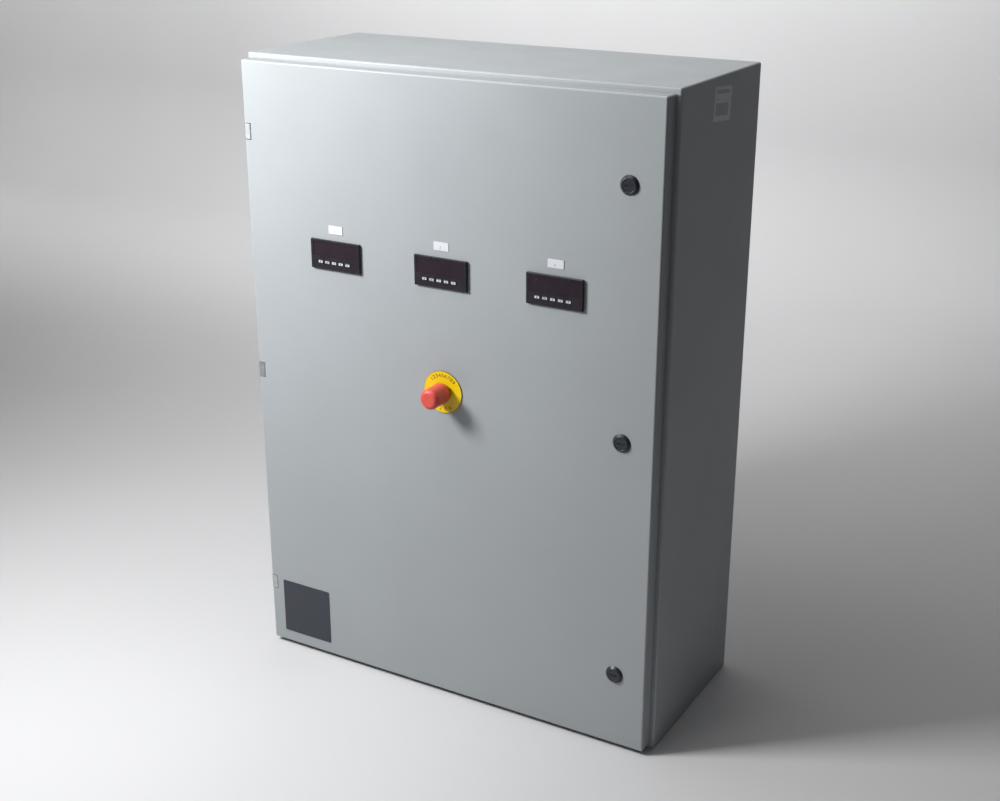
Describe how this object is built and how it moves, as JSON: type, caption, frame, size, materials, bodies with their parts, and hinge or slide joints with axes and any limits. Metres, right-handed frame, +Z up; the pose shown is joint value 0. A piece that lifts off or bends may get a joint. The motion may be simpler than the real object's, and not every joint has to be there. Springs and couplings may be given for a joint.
{
  "type": "turbine control panel",
  "caption": "Grey steel control cabinet with a hinged door, panel meters with keys, a red emergency stop, quarter-turn latches and a fitted back panel.",
  "frame": {"origin": "centre of the enclosure body's bottom face, where the panel stands", "axes": "+Z up, +Y towards the back (the wall side), +X to the right as seen from the door"},
  "size_m": [0.762, 0.3798, 1.0668],
  "materials": {
    "grey_paint": "satin powder coat",
    "hinge_steel": "plain zinc plate",
    "fastener_steel": "zinc plate",
    "white_paint": "white powder coat",
    "rail_zinc": "yellow passivated zinc",
    "foam": "closed cell foam",
    "latch_black": "black coating on a casting",
    "cam_zinc": "zinc plate",
    "legend_yellow": "yellow sheet",
    "head_red": "moulded red",
    "operator_black": "moulded black",
    "meter_black": "fine textured moulding",
    "window_smoke": "dark red tinted window",
    "key_rubber": "moulded keypad rubber",
    "plug_green": "moulded green",
    "tag_white": "laminated tag",
    "plate_dark": "dark film",
    "supply_case": "pressed case",
    "unit_grey": "moulded grey",
    "breaker_white": "moulded light grey",
    "toggle_black": "moulded black",
    "socket_grey": "moulded grey",
    "relay_cover": "smoky clear cover",
    "terminal_grey": "moulded grey",
    "ground_brass": "bare bar"
  },
  "bodies": {
    "enclosure": {"enclosure_shell": "grey_paint", "hinge_brackets": "hinge_steel", "hinge_pins": "fastener_steel", "panel_studs": "fastener_steel", "panel_nuts": "fastener_steel", "ground_bar_screws": "fastener_steel", "back_panel": "white_paint", "mounting_rails": "rail_zinc", "power_supply": "supply_case", "controller": "unit_grey", "io_modules": "unit_grey", "main_breaker": "breaker_white", "relay_sockets": "socket_grey", "relays": "relay_cover", "terminal_blocks": "terminal_grey", "terminal_end_stops": "terminal_grey", "ground_bar": "ground_brass"},
    "door": {"door_panel": "grey_paint", "door_gasket": "foam", "hinge_ears": "hinge_steel", "latch_housings": "latch_black", "latch_nuts": "fastener_steel", "estop_legend_plate": "legend_yellow", "estop_bushing": "operator_black", "estop_locknut": "operator_black", "estop_contact_block": "operator_black", "meter_left_case": "meter_black", "meter_centre_case": "meter_black", "meter_right_case": "meter_black", "meter_windows": "window_smoke", "meter_gaskets": "foam", "meter_clamps": "meter_black", "meter_clamp_screws": "fastener_steel", "meter_terminals": "plug_green", "meter_tags": "tag_white", "door_plate": "plate_dark"},
    "latch_top": {"latch_insert_top": "latch_black", "latch_cam_top": "cam_zinc"},
    "latch_mid": {"latch_insert_mid": "latch_black", "latch_cam_mid": "cam_zinc"},
    "latch_low": {"latch_insert_low": "latch_black", "latch_cam_low": "cam_zinc"},
    "estop_plunger": {"estop_plunger": "operator_black"},
    "estop_head": {"estop_head": "head_red"},
    "breaker_toggle": {"breaker_toggle": "toggle_black"},
    "meter_left_key_1": {"meter_left_key_1": "key_rubber"},
    "meter_left_key_2": {"meter_left_key_2": "key_rubber"},
    "meter_left_key_3": {"meter_left_key_3": "key_rubber"},
    "meter_left_key_4": {"meter_left_key_4": "key_rubber"},
    "meter_left_key_5": {"meter_left_key_5": "key_rubber"},
    "meter_centre_key_1": {"meter_centre_key_1": "key_rubber"},
    "meter_centre_key_2": {"meter_centre_key_2": "key_rubber"},
    "meter_centre_key_3": {"meter_centre_key_3": "key_rubber"},
    "meter_centre_key_4": {"meter_centre_key_4": "key_rubber"},
    "meter_centre_key_5": {"meter_centre_key_5": "key_rubber"},
    "meter_right_key_1": {"meter_right_key_1": "key_rubber"},
    "meter_right_key_2": {"meter_right_key_2": "key_rubber"},
    "meter_right_key_3": {"meter_right_key_3": "key_rubber"},
    "meter_right_key_4": {"meter_right_key_4": "key_rubber"},
    "meter_right_key_5": {"meter_right_key_5": "key_rubber"}
  },
  "joints": [
    {"name": "door_swing", "type": "hinge", "parent": "enclosure", "child": "door", "pos_m": [-0.3674, -0.1742, 0.5334], "axis": [0, 0, -1], "range_deg": [0, 180]},
    {"name": "latch_top_turn", "type": "hinge", "parent": "door", "child": "latch_top", "pos_m": [0.31969, -0.181, 0.9304], "axis": [0, -1, 0], "range_deg": [0, 90]},
    {"name": "latch_mid_turn", "type": "hinge", "parent": "door", "child": "latch_mid", "pos_m": [0.31969, -0.181, 0.5369], "axis": [0, -1, 0], "range_deg": [0, 90]},
    {"name": "latch_low_turn", "type": "hinge", "parent": "door", "child": "latch_low", "pos_m": [0.31969, -0.181, 0.1364], "axis": [0, -1, 0], "range_deg": [0, 90]},
    {"name": "estop_push", "type": "slide", "parent": "door", "child": "estop_plunger", "axis": [0, 1, 0], "range_m": [0, 0.004]},
    {"name": "estop_twist", "type": "hinge", "parent": "estop_plunger", "child": "estop_head", "pos_m": [0.003, -0.181, 0.5606], "axis": [0, 1, 0], "range_deg": [0, 45]},
    {"name": "breaker_throw", "type": "hinge", "parent": "enclosure", "child": "breaker_toggle", "pos_m": [-0.238, 0.0588, 0.8758], "axis": [1, 0, 0], "range_deg": [0, 70]},
    {"name": "meter_left_key_1_press", "type": "slide", "parent": "door", "child": "meter_left_key_1", "axis": [0, 1, 0], "range_m": [0, 0.0008], "stiffness_N_per_m": 400},
    {"name": "meter_left_key_2_press", "type": "slide", "parent": "door", "child": "meter_left_key_2", "axis": [0, 1, 0], "range_m": [0, 0.0008], "stiffness_N_per_m": 400},
    {"name": "meter_left_key_3_press", "type": "slide", "parent": "door", "child": "meter_left_key_3", "axis": [0, 1, 0], "range_m": [0, 0.0008], "stiffness_N_per_m": 400},
    {"name": "meter_left_key_4_press", "type": "slide", "parent": "door", "child": "meter_left_key_4", "axis": [0, 1, 0], "range_m": [0, 0.0008], "stiffness_N_per_m": 400},
    {"name": "meter_left_key_5_press", "type": "slide", "parent": "door", "child": "meter_left_key_5", "axis": [0, 1, 0], "range_m": [0, 0.0008], "stiffness_N_per_m": 400},
    {"name": "meter_centre_key_1_press", "type": "slide", "parent": "door", "child": "meter_centre_key_1", "axis": [0, 1, 0], "range_m": [0, 0.0008], "stiffness_N_per_m": 400},
    {"name": "meter_centre_key_2_press", "type": "slide", "parent": "door", "child": "meter_centre_key_2", "axis": [0, 1, 0], "range_m": [0, 0.0008], "stiffness_N_per_m": 400},
    {"name": "meter_centre_key_3_press", "type": "slide", "parent": "door", "child": "meter_centre_key_3", "axis": [0, 1, 0], "range_m": [0, 0.0008], "stiffness_N_per_m": 400},
    {"name": "meter_centre_key_4_press", "type": "slide", "parent": "door", "child": "meter_centre_key_4", "axis": [0, 1, 0], "range_m": [0, 0.0008], "stiffness_N_per_m": 400},
    {"name": "meter_centre_key_5_press", "type": "slide", "parent": "door", "child": "meter_centre_key_5", "axis": [0, 1, 0], "range_m": [0, 0.0008], "stiffness_N_per_m": 400},
    {"name": "meter_right_key_1_press", "type": "slide", "parent": "door", "child": "meter_right_key_1", "axis": [0, 1, 0], "range_m": [0, 0.0008], "stiffness_N_per_m": 400},
    {"name": "meter_right_key_2_press", "type": "slide", "parent": "door", "child": "meter_right_key_2", "axis": [0, 1, 0], "range_m": [0, 0.0008], "stiffness_N_per_m": 400},
    {"name": "meter_right_key_3_press", "type": "slide", "parent": "door", "child": "meter_right_key_3", "axis": [0, 1, 0], "range_m": [0, 0.0008], "stiffness_N_per_m": 400},
    {"name": "meter_right_key_4_press", "type": "slide", "parent": "door", "child": "meter_right_key_4", "axis": [0, 1, 0], "range_m": [0, 0.0008], "stiffness_N_per_m": 400},
    {"name": "meter_right_key_5_press", "type": "slide", "parent": "door", "child": "meter_right_key_5", "axis": [0, 1, 0], "range_m": [0, 0.0008], "stiffness_N_per_m": 400}
  ]
}
